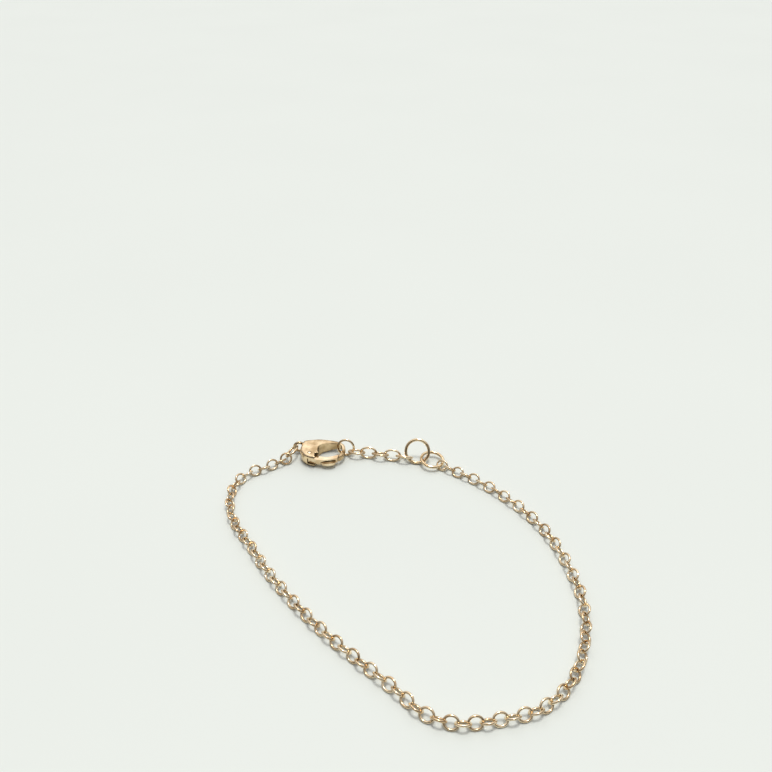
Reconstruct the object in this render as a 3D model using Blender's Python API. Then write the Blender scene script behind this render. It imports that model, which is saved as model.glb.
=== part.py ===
"""Chain bracelet: a fine cable chain closed by a lobster clasp on a short extension chain.

It lies on a flat surface at z = 0 as a closed, egg-shaped loop. X runs to the right,
Y away from the viewer, Z up. Sizes are in metres.
"""
import math

import bmesh
import bpy
from mathutils import Matrix, Vector

MM = 0.001
CLEARANCE = 0.08 * MM

# The loop as it lies
LOOP_WIDTH = 62.5 * MM
LOOP_DEPTH = 61.0 * MM

# Fine chain
CHAIN_WIRE = 0.40 * MM
CHAIN_LINK_LENGTH = 2.54 * MM
CHAIN_LINK_WIDTH = 2.26 * MM
CHAIN_BITE = 0.04 * MM
CHAIN_ROLL = 45.0
CHAIN_ROLL_CHANGE = 7.0
CHAIN_SIDES = 10

# Extension chain
EXTENSION_WIRE = 0.45 * MM
EXTENSION_LINK_LENGTH = 3.62 * MM
EXTENSION_LINK_WIDTH = 2.50 * MM
EXTENSION_PLAY = 0.30 * MM
EXTENSION_HEIGHT = 1.05 * MM
# How each of its links lies: its direction on the table and its roll, in degrees
EXTENSION_LINKS = (
    (-9.0, -20.0), (-7.0, 60.0), (-10.0, -28.0), (-8.0, 55.0), (-11.0, -36.0),
)

# Rings
RING_PLAY = 0.34 * MM
END_RING_SIZE = 3.70 * MM
END_RING_WIRE = 0.45 * MM
END_RING_LEAN = 15.0
END_RING_HEADING = -6.0
LARGE_RING_WIRE = 0.60 * MM
UPRIGHT_RING_SIZE = 5.20 * MM
UPRIGHT_RING_LEAN = 38.0
UPRIGHT_RING_HEADING = -6.0
FLAT_RING_SIZE = 5.00 * MM
FLAT_RING_HEADING = -14.0
FLAT_RING_SLOPE = -6.0
FLAT_RING_SHIFT = 1.5
FLAT_RING_EXIT = -42.0
CHAIN_PLAY = 0.36 * MM
JUMP_RING_SIZE = 2.50 * MM
JUMP_RING_WIRE = 0.40 * MM
JUMP_RING_TILT = 45.0
JUMP_RING_PULL = 50.0
CLASP_LINK_LENGTH = 4.10 * MM
CLASP_LINK_WIDTH = 2.80 * MM
CLASP_LINK_WIRE = 0.45 * MM
CLASP_LINK_HEADING = -107.0
CLASP_LINK_NORMAL = Vector((-0.56, 0.25, 0.79))
RING_SIDES = 12
LARGE_RING_SIDES = 16

# Lobster clasp, measured from the centre of its eye
CLASP_LENGTH = 9.30 * MM
CLASP_WIDTH = 6.20 * MM
CLASP_THICKNESS = 2.60 * MM
CLAW_TIP_THICKNESS = 1.00 * MM
CLASP_ROUNDING = 0.28 * MM
EYE_SIZE = 2.60 * MM
EYE_WIRE = 0.55 * MM
EYE_HEIGHT = 1.50 * MM
EYE_PULL = 13.0
PIN_RADIUS = 0.35 * MM
LEVER_THICKNESS = 1.20 * MM
LEVER_ROUNDING = 0.15 * MM
LEVER_HEEL_RADIUS = 0.85 * MM
TAB_THICKNESS = 0.50 * MM
EYE_POSITION = Vector((-0.301 * LOOP_WIDTH, 0.479 * LOOP_DEPTH, 0.0))
CLASP_HEADING = 3.0

# Outlines of the clasp from above, as shares of its length and width
TAPER_START = 0.43
BODY_OUTLINE = (
    (0.11, 0.12), (0.29, 0.165), (0.52, 0.18), (0.74, 0.155), (0.91, 0.085), (0.985, -0.05),
    (1.00, -0.32), (0.945, -0.57), (0.81, -0.72), (0.62, -0.79), (0.42, -0.79),
    (0.235, -0.72), (0.10, -0.57), (0.035, -0.35), (0.05, -0.10),
)
HOLE_OUTLINE = (
    (0.49, -0.10), (0.665, -0.015), (0.83, -0.01), (0.915, -0.075), (0.922, -0.40),
    (0.83, -0.585), (0.655, -0.615), (0.49, -0.60), (0.41, -0.485), (0.41, -0.265),
)
MOUTH_OUTLINE = ((0.34, -0.53), (0.88, -0.53), (0.81, -0.86), (0.34, -0.86))
ARM_OUTER = ((0.24, -0.655), (0.42, -0.765), (0.62, -0.765), (0.77, -0.725), (0.828, -0.70))
ARM_INNER = ((0.86, -0.545), (0.66, -0.63), (0.50, -0.62), (0.41, -0.56), (0.34, -0.44),
             (0.25, -0.38))
TAB_OUTLINE = ((0.44, -0.74), (0.52, -0.84), (0.65, -0.875), (0.76, -0.83), (0.80, -0.74))
PIN_PLACE = (0.233, -0.517)
SLOT_END = (0.46, -0.90)
END_RING_PLACE = (1.012, -0.175)

# The chosen points of the fine chain's route on the table, as shares of the loop's width and
# depth, from the jump ring round to the flat ring. The two end points of the route are worked
# out from those rings.
ROUTE = [Vector((x * LOOP_WIDTH, y * LOOP_DEPTH)) for x, y in (
    (-0.395, 0.390), (-0.454, 0.356), (-0.486, 0.292), (-0.486, 0.226), (-0.461, 0.148),
    (-0.402, 0.056), (-0.336, -0.048), (-0.262, -0.143), (-0.181, -0.234), (-0.090, -0.320),
    (0.000, -0.400), (0.064, -0.462), (0.136, -0.487), (0.246, -0.475), (0.331, -0.451),
    (0.410, -0.384), (0.462, -0.285), (0.486, -0.180), (0.485, -0.089), (0.458, 0.044),
    (0.421, 0.136), (0.358, 0.228), (0.282, 0.308),
)]
ROUTE_STEPS = 24

UP = Vector((0.0, 0.0, 1.0))


def make_gold(name, colour, roughness):
    """A plain gold material."""
    material = bpy.data.materials.new(name)
    material.use_nodes = True
    shader = material.node_tree.nodes["Principled BSDF"]
    shader.inputs["Base Color"].default_value = (*colour, 1.0)
    shader.inputs["Metallic"].default_value = 1.0
    shader.inputs["Roughness"].default_value = roughness
    return material


def add_object(name, data, material=None):
    """Put mesh or curve data in the scene as a named object."""
    thing = bpy.data.objects.new(name, data)
    bpy.context.collection.objects.link(thing)
    if material:
        data.materials.append(material)
    return thing


def heading(degrees):
    """The unit direction on the table at an angle from +X."""
    angle = math.radians(degrees)
    return Vector((math.cos(angle), math.sin(angle), 0.0))


def rolled(along, degrees):
    """The flat side's direction of a link turned about its length, towards its right."""
    side = UP.cross(along).normalized()
    angle = math.radians(degrees)
    return along.cross(side) * math.cos(angle) - side * math.sin(angle)


def placed(centre, along, normal):
    """A matrix with x along the piece and z out of its flat side."""
    x = along.normalized()
    z = (normal - normal.dot(x) * x).normalized()
    return Matrix.Translation(centre) @ Matrix((x, z.cross(x), z)).transposed().to_4x4()


def smooth_points(points, steps, closed=False):
    """Points on a smooth curve through the given ones."""
    count = len(points)
    if closed:
        ring = [points[-1], *points, points[0], points[1]]
    else:
        ring = [2 * points[0] - points[1], *points, 2 * points[-1] - points[-2]]
    curve = []
    for i in range(count if closed else count - 1):
        p0, p1, p2, p3 = ring[i:i + 4]
        t1 = (p1 - p0).length ** 0.5
        t2 = t1 + (p2 - p1).length ** 0.5
        t3 = t2 + (p3 - p2).length ** 0.5
        for step in range(steps):
            t = t1 + (t2 - t1) * step / steps
            a1 = p0.lerp(p1, t / t1)
            a2 = p1.lerp(p2, (t - t1) / (t2 - t1))
            a3 = p2.lerp(p3, (t - t2) / (t3 - t2))
            b1 = a1.lerp(a2, t / t2)
            b2 = a2.lerp(a3, (t - t1) / (t3 - t1))
            curve.append(b1.lerp(b2, (t - t1) / (t2 - t1)))
    if not closed:
        curve.append(points[-1].copy())
    return curve


def points_along(curve, distances):
    """The points at given distances along a curve."""
    found = []
    walked = 0.0
    index = 0
    for distance in distances:
        while index < len(curve) - 2 and walked + (curve[index + 1] - curve[index]).length < distance:
            walked += (curve[index + 1] - curve[index]).length
            index += 1
        step = curve[index + 1] - curve[index]
        found.append(curve[index] + step * ((distance - walked) / step.length))
    return found


def wire_loop(name, length, width, wire, sides):
    """A closed oval of round wire, lying flat, its length along x."""
    curve = bpy.data.curves.new(name, "CURVE")
    curve.dimensions = "3D"
    spline = curve.splines.new("POLY")
    spline.points.add(sides - 1)
    for i, point in enumerate(spline.points):
        angle = 2 * math.pi * i / sides
        x = (length - wire) / 2 * math.cos(angle)
        y = (width - wire) / 2 * math.sin(angle)
        point.co = (x, y, 0.0, 1.0)
    spline.use_cyclic_u = True
    curve.bevel_depth = wire / 2
    curve.bevel_resolution = 1
    return curve


def mesh_of(curve):
    """The mesh of a curve."""
    holder = bpy.data.objects.new(curve.name, curve)
    mesh = bpy.data.meshes.new_from_object(holder)
    bpy.data.objects.remove(holder)
    return mesh


def add_loop(name, length, width, wire, sides, place, material):
    """One ring or link as an object of its own."""
    loop = add_object(name, wire_loop(name, length, width, wire, sides), material)
    loop.matrix_world = place
    return loop


def extruded(name, outline, low, high):
    """A closed plate with the given outline, between two heights."""
    shape = bmesh.new()
    face = shape.faces.new([shape.verts.new((p.x, p.y, low)) for p in outline])
    shape.normal_update()
    if face.normal.z > 0:
        face.normal_flip()
    grown = bmesh.ops.extrude_face_region(shape, geom=[face])["geom"]
    top = [v for v in grown if isinstance(v, bmesh.types.BMVert)]
    bmesh.ops.translate(shape, verts=top, vec=(0.0, 0.0, high - low))
    bmesh.ops.recalc_face_normals(shape, faces=shape.faces)
    mesh = bpy.data.meshes.new(name)
    shape.to_mesh(mesh)
    shape.free()
    return mesh


def add_cutter(name, mesh, place):
    """A helper shape that other pieces are joined with or cut by."""
    cutter = add_object(name, mesh)
    cutter.matrix_world = place
    cutter.hide_render = True
    cutter.display_type = "WIRE"
    return cutter


def add_boolean(target, cutter, operation):
    """Join a piece with a helper shape, or cut the shape out of it."""
    modifier = target.modifiers.new(cutter.name, "BOOLEAN")
    modifier.operation = operation
    modifier.solver = "EXACT"
    modifier.object = cutter


def add_bevel(target, width):
    """Round the sharp edges of a piece."""
    modifier = target.modifiers.new("rounding", "BEVEL")
    modifier.width = width
    modifier.limit_method = "ANGLE"
    modifier.angle_limit = math.radians(40.0)


def cylinder(name, radius, low, high, sides):
    """An upright cylinder round the z axis."""
    return extruded(name, [heading(360.0 * i / sides) * radius for i in range(sides)], low, high)


def on_clasp(share_x, share_y):
    """A point of the clasp's outlines, measured from its eye."""
    return Vector((share_x * CLASP_LENGTH, share_y * CLASP_WIDTH, 0.0))


CLASP_PLACE = Matrix.Translation(EYE_POSITION) @ Matrix.Rotation(math.radians(CLASP_HEADING), 4, "Z")
MIDDLE = CLASP_THICKNESS / 2


def taper_claw(mesh):
    """Thin the claw towards its tip, evenly above and below."""
    shape = bmesh.new()
    shape.from_mesh(mesh)
    start = TAPER_START * CLASP_LENGTH
    bmesh.ops.bisect_plane(
        shape, geom=[*shape.verts, *shape.edges, *shape.faces],
        plane_co=(start, 0.0, 0.0), plane_no=(1.0, 0.0, 0.0), dist=1e-8)
    for vertex in shape.verts:
        share = max(0.0, (vertex.co.x - start) / (CLASP_LENGTH - start))
        thickness = CLASP_THICKNESS + share * (CLAW_TIP_THICKNESS - CLASP_THICKNESS)
        vertex.co.z = MIDDLE + (vertex.co.z - MIDDLE) * thickness / CLASP_THICKNESS
    shape.to_mesh(mesh)
    shape.free()


def build_clasp_body(material):
    """The fixed part of the clasp: eye, head with the lever's slot, back and claw."""
    outline = smooth_points([on_clasp(*p) for p in BODY_OUTLINE], 2, closed=True)
    mesh = extruded("clasp_body", outline, 0.0, CLASP_THICKNESS)
    taper_claw(mesh)
    body = add_object("clasp_body", mesh, material)
    body.matrix_world = CLASP_PLACE

    reach = (-CLASP_THICKNESS, 2 * CLASP_THICKNESS)
    hole_outline = smooth_points([on_clasp(*p) for p in HOLE_OUTLINE], 2, closed=True)
    hole = add_cutter("clasp_hole", extruded("clasp_hole", hole_outline, *reach), CLASP_PLACE)
    mouth_outline = [on_clasp(*p) for p in MOUTH_OUTLINE]
    mouth = add_cutter("clasp_mouth", extruded("clasp_mouth", mouth_outline, *reach), CLASP_PLACE)
    add_boolean(body, hole, "DIFFERENCE")
    add_boolean(body, mouth, "DIFFERENCE")
    add_bevel(body, CLASP_ROUNDING)

    eye_place = CLASP_PLACE @ placed(Vector((0.0, 0.0, EYE_HEIGHT)), Vector((1.0, 0.0, 0.0)),
                                     Vector((0.0, -1.0, 0.0)))
    eye_mesh = mesh_of(wire_loop("clasp_eye", EYE_SIZE, EYE_SIZE, EYE_WIRE, RING_SIDES))
    eye = add_cutter("clasp_eye", eye_mesh, eye_place)
    add_boolean(body, eye, "UNION")

    pin = on_clasp(*PIN_PLACE)
    half = LEVER_THICKNESS / 2 + CLEARANCE
    radius = LEVER_HEEL_RADIUS + CLEARANCE
    end = on_clasp(*SLOT_END)
    pocket = [pin + heading(angle) * radius for angle in range(90, 241, 15)]
    pocket += [Vector((pin.x - radius / 2, end.y, 0.0)), end, Vector((end.x, pin.y + radius, 0.0))]
    slot = add_cutter("clasp_slot", extruded("clasp_slot", pocket, MIDDLE - half, MIDDLE + half),
                      CLASP_PLACE)
    add_boolean(body, slot, "DIFFERENCE")
    bore_mesh = cylinder("clasp_bore", PIN_RADIUS + CLEARANCE / 2, *reach, 16)
    bore = add_cutter("clasp_bore", bore_mesh, CLASP_PLACE @ Matrix.Translation(pin))
    add_boolean(body, bore, "DIFFERENCE")


def build_clasp_lever(material):
    """The sprung lever that closes the claw, with its thumb tab, turning on the pin."""
    pin = on_clasp(*PIN_PLACE)
    place = CLASP_PLACE @ Matrix.Translation(pin)
    low = MIDDLE - LEVER_THICKNESS / 2
    high = MIDDLE + LEVER_THICKNESS / 2
    outline = smooth_points([on_clasp(*p) - pin for p in ARM_OUTER], 2)
    outline += smooth_points([on_clasp(*p) - pin for p in ARM_INNER], 2)
    lever = add_object("clasp_lever", extruded("clasp_lever", outline, low, high), material)
    lever.matrix_world = place
    heel = add_cutter("lever_heel", cylinder("lever_heel", LEVER_HEEL_RADIUS, low, high, 16), place)
    tab_outline = smooth_points([on_clasp(*p) - pin for p in TAB_OUTLINE], 2)
    tab_mesh = extruded("lever_tab", tab_outline, low + CLEARANCE, low + CLEARANCE + TAB_THICKNESS)
    tab = add_cutter("lever_tab", tab_mesh, place)
    bore_mesh = cylinder("lever_bore", PIN_RADIUS + CLEARANCE, low - MIDDLE, high + MIDDLE, 16)
    bore = add_cutter("lever_bore", bore_mesh, place)
    add_boolean(lever, heel, "UNION")
    add_boolean(lever, tab, "UNION")
    add_boolean(lever, bore, "DIFFERENCE")
    add_bevel(lever, LEVER_ROUNDING)


def build_clasp_pin(material):
    """The pin through the head of the clasp and the heel of the lever."""
    mesh = cylinder("clasp_pin", PIN_RADIUS, 0.0, CLASP_THICKNESS, 16)
    pin = add_object("clasp_pin", mesh, material)
    pin.matrix_world = CLASP_PLACE @ Matrix.Translation(on_clasp(*PIN_PLACE))


def build_jump_ring(material):
    """The clasp's link and the jump ring; returns where the fine chain starts."""
    eye_radius = (EYE_SIZE - EYE_WIRE) / 2
    pull = math.radians(EYE_PULL)
    on_eye = CLASP_PLACE @ Vector(
        (-eye_radius * math.cos(pull), 0.0, EYE_HEIGHT - eye_radius * math.sin(pull)))

    tilt = math.radians(JUMP_RING_TILT)
    ring_radius = (JUMP_RING_SIZE - JUMP_RING_WIRE) / 2
    ring_height = ring_radius * math.sin(tilt) + JUMP_RING_WIRE / 2
    ring_pull = math.radians(JUMP_RING_PULL)
    outwards = Vector((math.cos(ring_pull), math.sin(ring_pull) * math.cos(tilt),
                       math.sin(ring_pull) * math.sin(tilt)))

    eye_hook = (EYE_WIRE + CLASP_LINK_WIRE) / 2 + CLEARANCE
    ring_hook = (JUMP_RING_WIRE + CLASP_LINK_WIRE) / 2 + CLEARANCE
    half_length = (CLASP_LINK_LENGTH - CLASP_LINK_WIRE) / 2
    reach = 2 * half_length - eye_hook - ring_hook
    rise = (ring_height + ring_radius * outwards.z - on_eye.z) / reach
    along = heading(CLASP_LINK_HEADING) * math.sqrt(1 - rise * rise) + UP * rise
    centre = on_eye + along * (half_length - eye_hook)
    add_loop("clasp_link", CLASP_LINK_LENGTH, CLASP_LINK_WIDTH, CLASP_LINK_WIRE, RING_SIDES,
             placed(centre, along, CLASP_LINK_NORMAL), material)

    ring_centre = on_eye + along * reach - outwards * ring_radius
    normal = Vector((0.0, -math.sin(tilt), math.cos(tilt)))
    add_loop("jump_ring", JUMP_RING_SIZE, JUMP_RING_SIZE, JUMP_RING_WIRE, RING_SIDES,
             placed(ring_centre, Vector((1.0, 0.0, 0.0)), normal), material)
    start = ring_centre - outwards * (ring_radius - JUMP_RING_WIRE / 2 - CHAIN_PLAY)
    return start.xy


def up_ring(along, lean):
    """The direction up the plane of a ring that leans away from the viewer."""
    return UP.cross(along) * math.sin(lean) + UP * math.cos(lean)


def to_ring_wire(along, lean, radius, height):
    """The way from a leaning ring's centre to its wire on the right, at a height from it."""
    rise = height / math.cos(lean)
    return up_ring(along, lean) * rise + along * math.sqrt(radius ** 2 - rise ** 2)


def build_extension(material):
    """The end ring in the claw and the links after it; returns where the last one ends."""
    ring_along = heading(END_RING_HEADING)
    lean = math.radians(END_RING_LEAN)
    radius = (END_RING_SIZE - END_RING_WIRE) / 2
    centre = CLASP_PLACE @ on_clasp(*END_RING_PLACE)
    centre.z = radius * math.cos(lean) + END_RING_WIRE / 2
    add_loop("extension_end_ring", END_RING_SIZE, END_RING_SIZE, END_RING_WIRE, RING_SIDES,
             placed(centre, ring_along, rolled(ring_along, 90.0 - END_RING_LEAN)), material)

    start = centre + to_ring_wire(ring_along, lean, radius, EXTENSION_HEIGHT - centre.z)
    start -= ring_along * ((END_RING_WIRE + EXTENSION_WIRE) / 2 + RING_PLAY)
    half_length = (EXTENSION_LINK_LENGTH - EXTENSION_WIRE) / 2
    half_width = (EXTENSION_LINK_WIDTH - EXTENSION_WIRE) / 2
    for number, (direction, roll) in enumerate(EXTENSION_LINKS, 1):
        along = heading(direction)
        middle = start + along * half_length
        rest = half_width * math.sin(math.radians(abs(roll))) + EXTENSION_WIRE / 2
        middle.z = max(rest, EXTENSION_HEIGHT)
        add_loop(f"extension_link_{number}", EXTENSION_LINK_LENGTH, EXTENSION_LINK_WIDTH,
                 EXTENSION_WIRE, RING_SIDES, placed(middle, along, rolled(along, roll)), material)
        end = middle + along * half_length
        start = end - along * (EXTENSION_WIRE + EXTENSION_PLAY)
    return end


def build_large_rings(link_end, material):
    """The upright ring and the flat ring; returns where the fine chain ends."""
    along = heading(UPRIGHT_RING_HEADING)
    lean = math.radians(UPRIGHT_RING_LEAN)
    radius = (UPRIGHT_RING_SIZE - LARGE_RING_WIRE) / 2
    height = radius * math.cos(lean) + LARGE_RING_WIRE / 2
    wire = link_end - along * ((LARGE_RING_WIRE + EXTENSION_WIRE) / 2 + RING_PLAY)
    centre = wire + to_ring_wire(along, lean, radius, height - link_end.z)
    add_loop("upright_ring", UPRIGHT_RING_SIZE, UPRIGHT_RING_SIZE, LARGE_RING_WIRE, LARGE_RING_SIDES,
             placed(centre, along, rolled(along, 90.0 - UPRIGHT_RING_LEAN)), material)

    flat_start_height = 1.5 * LARGE_RING_WIRE + CHAIN_PLAY
    flat_start = centre + along * LARGE_RING_WIRE * FLAT_RING_SHIFT
    flat_start += up_ring(along, lean) * (flat_start_height - height) / math.cos(lean)
    flat_radius = (FLAT_RING_SIZE - LARGE_RING_WIRE) / 2
    slope = math.radians(FLAT_RING_SLOPE)
    down = heading(FLAT_RING_HEADING) * math.cos(slope) + UP * math.sin(slope)
    flat_centre = flat_start + down * flat_radius
    add_loop("flat_ring", FLAT_RING_SIZE, FLAT_RING_SIZE, LARGE_RING_WIRE, LARGE_RING_SIDES,
             placed(flat_centre, down, UP), material)
    inner = flat_radius - LARGE_RING_WIRE / 2 - CHAIN_PLAY
    return (flat_centre + heading(FLAT_RING_EXIT) * inner).xy


def chain_spans(start, end):
    """The points between which each link of the two halves of the fine chain is held."""
    inner = CHAIN_LINK_LENGTH - 2 * CHAIN_WIRE
    parting = CHAIN_BITE + CLEARANCE
    curve = smooth_points([start, *ROUTE, end], ROUTE_STEPS)
    length = sum((b - a).length for a, b in zip(curve, curve[1:]))
    count = round((length + parting) / (inner + CHAIN_BITE))
    step = (length + parting) / count
    left_count = count // 2
    left = [step * i for i in range(left_count + 1)]
    right = [left[-1] - parting + step * i for i in range(count - left_count + 1)]
    return points_along(curve, left), points_along(curve, right)


def link_place(start, end, number):
    """The place of one link of the fine chain, rolled to the other side of its neighbours."""
    roll = CHAIN_ROLL + CHAIN_ROLL_CHANGE * math.sin(2.4 * number) * math.cos(0.37 * number)
    half_width = (CHAIN_LINK_WIDTH - CHAIN_WIRE) / 2
    height = half_width * math.sin(math.radians(roll)) + CHAIN_WIRE / 2
    along = (end - start).to_3d()
    centre = ((start + end) / 2).to_3d() + UP * height
    return placed(centre, along, rolled(along.normalized(), -roll if number % 2 else roll))


def joined_links(name, places):
    """A mesh of fine chain links at the given places."""
    link = mesh_of(wire_loop(name, CHAIN_LINK_LENGTH, CHAIN_LINK_WIDTH, CHAIN_WIRE, CHAIN_SIDES))
    shape = bmesh.new()
    for place in places:
        copy = link.copy()
        copy.transform(place)
        shape.from_mesh(copy)
        bpy.data.meshes.remove(copy)
    mesh = bpy.data.meshes.new(name)
    shape.to_mesh(mesh)
    shape.free()
    return mesh


def build_chain_half(name, points, first_number, material):
    """Half of the fine chain: its links, joined where they touch."""
    places = [link_place(a, b, first_number + i) for i, (a, b) in enumerate(zip(points, points[1:]))]
    half = add_object(name, joined_links(name, places[0::2]), material)
    others = add_cutter(f"{name}_between", joined_links(f"{name}_between", places[1::2]), Matrix())
    add_boolean(half, others, "UNION")


def main():
    for thing in list(bpy.data.objects):
        bpy.data.objects.remove(thing)
    build_clasp_body(make_gold("clasp_body_gold", (0.83, 0.62, 0.33), 0.22))
    build_clasp_lever(make_gold("clasp_lever_gold", (0.85, 0.66, 0.40), 0.18))
    build_clasp_pin(make_gold("clasp_pin_gold", (0.86, 0.68, 0.42), 0.2))
    start = build_jump_ring(make_gold("ring_gold", (0.82, 0.63, 0.34), 0.2))
    link_end = build_extension(make_gold("extension_gold", (0.84, 0.65, 0.36), 0.2))
    end = build_large_rings(link_end, make_gold("large_ring_gold", (0.85, 0.67, 0.38), 0.18))
    left, right = chain_spans(start, end)
    chain_gold = make_gold("chain_gold", (0.84, 0.64, 0.35), 0.22)
    build_chain_half("chain_left", left, 0, chain_gold)
    build_chain_half("chain_right", right, len(left) - 1, chain_gold)


main()
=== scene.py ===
import math

import bpy
from mathutils import Matrix, Vector


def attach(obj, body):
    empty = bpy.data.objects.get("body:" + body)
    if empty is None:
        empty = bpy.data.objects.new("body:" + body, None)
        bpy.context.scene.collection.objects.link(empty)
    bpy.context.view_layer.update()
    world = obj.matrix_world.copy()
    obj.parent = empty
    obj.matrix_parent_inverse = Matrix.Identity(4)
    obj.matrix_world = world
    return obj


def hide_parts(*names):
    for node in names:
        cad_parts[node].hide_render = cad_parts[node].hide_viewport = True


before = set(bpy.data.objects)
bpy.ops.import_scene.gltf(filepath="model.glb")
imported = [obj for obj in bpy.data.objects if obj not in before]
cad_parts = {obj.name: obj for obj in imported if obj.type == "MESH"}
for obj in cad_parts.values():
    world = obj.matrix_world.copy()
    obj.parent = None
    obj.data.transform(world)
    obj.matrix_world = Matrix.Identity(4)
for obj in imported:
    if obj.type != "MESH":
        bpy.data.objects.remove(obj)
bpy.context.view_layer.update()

# %% [markdown]
# # A chain bracelet, lying closed on a pale surface
# The real thing is a fine gold chain of round links, closed by a lobster clasp on a short
# extension chain. One curve with links copied along it could stand for all of it. Here each
# piece is made on its own, as at the bench, because each one has to lie exactly where its
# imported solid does, and because the clasp's lever has to move.

# %% [markdown]
# ## Units and directions
# Real links are measured in tenths of a millimetre, and this file counts in metres. A pose could
# be typed in as ready numbers, or worked out from angles. Angles are used, because they can be
# read: a heading on the surface, and a roll about the length of the piece.

# %% Units and directions
MM = 0.001
CLEARANCE = 0.08 * MM
LOOP_WIDTH = 62.5 * MM
LOOP_DEPTH = 61.0 * MM
UP = Vector((0.0, 0.0, 1.0))
RIGHT = Vector((1.0, 0.0, 0.0))


def heading(degrees):
    """The level unit direction at an angle from the right."""
    angle = math.radians(degrees)
    return Vector((math.cos(angle), math.sin(angle), 0.0))


def rolled(along, degrees):
    """The flat side's direction of a link turned about its length, towards its right."""
    side = UP.cross(along).normalized()
    angle = math.radians(degrees)
    return along.cross(side) * math.cos(angle) - side * math.sin(angle)


def placed(centre, along, normal):
    """A matrix with x along the piece and z out of its flat side."""
    x = along.normalized()
    z = (normal - normal.dot(x) * x).normalized()
    return Matrix.Translation(centre) @ Matrix((x, z.cross(x), z)).transposed().to_4x4()


print("the loop is", round(LOOP_WIDTH / MM, 1), "by", round(LOOP_DEPTH / MM, 1), "mm")

# %% [markdown]
# ## Shared effects in the gold
# All the metal is the same pale gold-filled brass. Wear, painted shade with dirt in the crevices,
# and solder could be drawn into each material by itself. They are node groups instead, built
# once, so that every piece wears in the same way and a material only gives the amounts. The
# helpers below make a group, and add a node whose inputs come from other nodes or are plain values.

# %% Groups and nodes
def new_group(name, inputs, outputs):
    """An empty node group with the given sockets."""
    group = bpy.data.node_groups.new(name, "ShaderNodeTree")
    for label, kind, value in inputs:
        group.interface.new_socket(label, in_out="INPUT", socket_type=kind).default_value = value
    for label, kind in outputs:
        group.interface.new_socket(label, in_out="OUTPUT", socket_type=kind)
    return group, group.nodes.new("NodeGroupInput"), group.nodes.new("NodeGroupOutput")


def node(tree, kind, inputs, **settings):
    """Add a node. Each of its inputs is given as another node's output or as a plain value."""
    new = tree.nodes.new(kind)
    for name, value in settings.items():
        setattr(new, name, value)
    for socket, given in inputs.items():
        if isinstance(given, bpy.types.NodeSocket):
            tree.links.new(given, new.inputs[socket])
        else:
            new.inputs[socket].default_value = given
    return new


print("node groups before the gold's own:", len(bpy.data.node_groups))

# %% [markdown]
# ## Noise, ranges and mixes
# Most effects on metal come down to a few steps: some noise, stretched to a clear range, and used
# to mix two colours. Each node could be wired where it is used. These steps come back so often
# that each gets a short helper. A Mix node keeps its colour sockets after those for numbers, so
# they are found by their place in the list.

# %% Noise, ranges and mixes
MIX_FIRST = 6
MIX_SECOND = 7
MIX_RESULT = 2


def noise(tree, place, scale, detail):
    """Soft noise. The scale is the number of its clouds per unit of its coordinates."""
    inputs = {"Vector": place, "Scale": scale, "Detail": detail}
    return node(tree, "ShaderNodeTexNoise", inputs).outputs[0]


def ranged(tree, value, from_low, from_high, to_low=0.0, to_high=1.0):
    """Stretch a value from one range to another, and hold it there."""
    inputs = {"Value": value, "From Min": from_low, "From Max": from_high,
              "To Min": to_low, "To Max": to_high}
    return node(tree, "ShaderNodeMapRange", inputs).outputs[0]


def calculated(tree, operation, *terms):
    """A sum, product or other calculation."""
    return node(tree, "ShaderNodeMath", dict(enumerate(terms)), operation=operation).outputs[0]


def mixed(tree, mask, first, second):
    """The first colour where the mask is 0, and the second where it is 1."""
    inputs = {"Factor": mask, MIX_FIRST: first, MIX_SECOND: second}
    return node(tree, "ShaderNodeMix", inputs, data_type="RGBA").outputs[MIX_RESULT]


print("a mix puts its colour out at socket", MIX_RESULT)

# %% [markdown]
# ## Tone, polish, scratches and waves
# Worn gold is never one even colour. Its tone drifts over a few millimetres, its polish is
# cloudy, fine scratches run over it, and a cast face is a little wavy. A picture wrapped round
# the metal could show that, but it would stretch on bent wire. Noise in the piece's own space
# doesn't: a slow one gives tone and waves, a finer one the polish, a stretched one the scratches.

# %% Surface group
CLOUDS = {"scale": 420.0, "detail": 4.0}
CLOUD_EDGES = (0.38, 0.64)
GRAIN = {"scale": 1500.0, "detail": 2.0}
GRAIN_EDGES = (0.3, 0.7)
POLISH_CHANGE = (-0.03, 0.06)
SCRATCHES = {"scale": 1.0, "detail": 2.0}
SCRATCH_TURN = (0.6, 0.3, 0.9)
SCRATCH_STRETCH = (900.0, 12000.0, 12000.0)
WAVE_DEPTH = 0.2 * MM
SCRATCH_DEPTH = 0.02 * MM


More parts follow.
